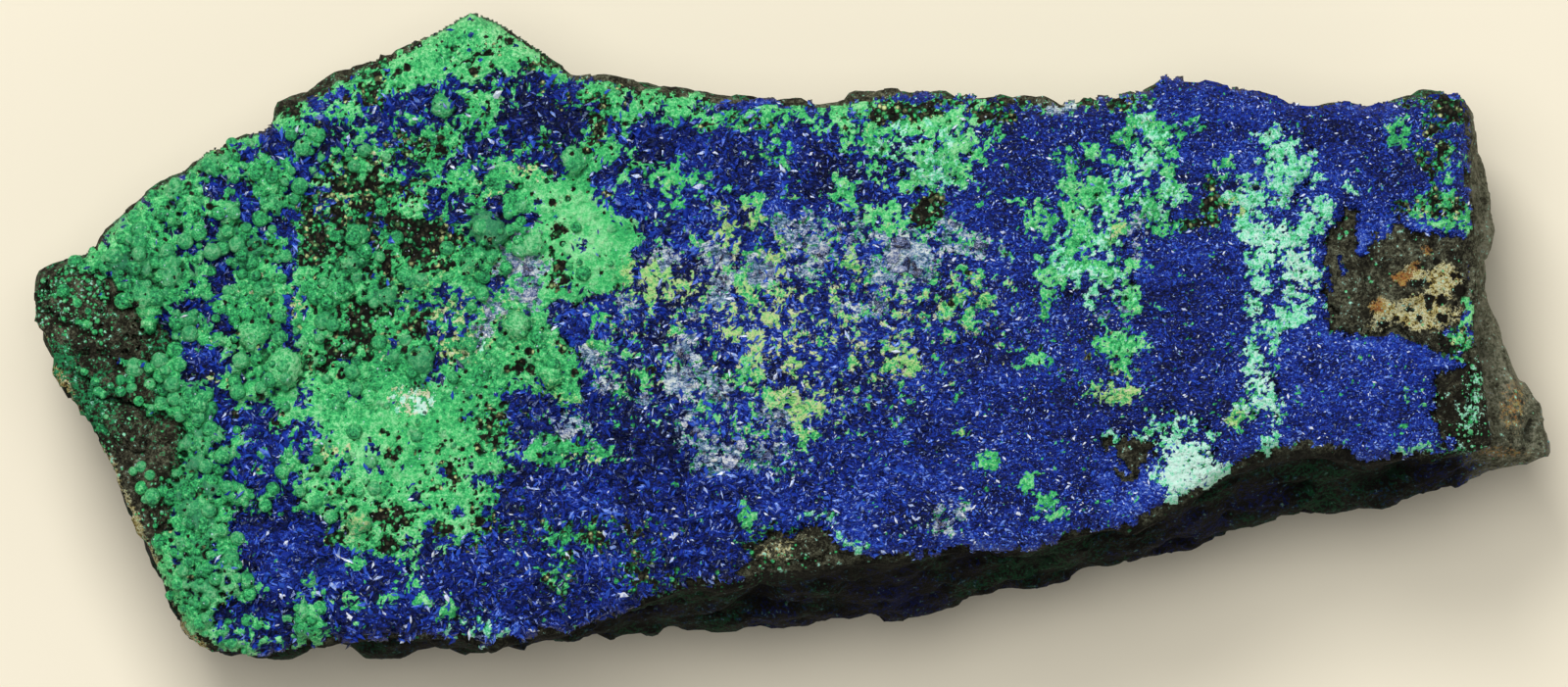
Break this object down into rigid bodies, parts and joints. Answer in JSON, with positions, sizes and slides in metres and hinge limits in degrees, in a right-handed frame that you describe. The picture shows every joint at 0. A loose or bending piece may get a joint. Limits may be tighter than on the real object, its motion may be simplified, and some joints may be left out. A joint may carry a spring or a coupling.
{
  "type": "azurite specimen",
  "caption": "Flat hand specimen of broken dark rock whose face carries a blue crystal crust and a green botryoidal crust; it lies on its underside.",
  "frame": {"origin": "middle of the specimen's outline, on the flat resting face", "axes": "+X along the slab towards its stepped end, +Y across it towards the pointed edge, +Z out of the crusted face"},
  "size_m": [0.1088, 0.0462, 0.0223],
  "materials": {
    "matrix_rock": "rough broken rock",
    "azurite": "deep blue, glassy small crystals",
    "malachite": "green, satin botryoidal skin",
    "malachite_mint": "pale mint green, powdery"
  },
  "bodies": {
    "root": {"matrix": "matrix_rock", "azurite_crust": "azurite", "malachite_crust": "malachite", "malachite_patch_north": "malachite_mint", "malachite_patch_northeast": "malachite_mint", "malachite_vein_east": "malachite_mint", "malachite_patch_southeast": "malachite_mint", "malachite_knob_south": "malachite"}
  },
  "joints": []
}
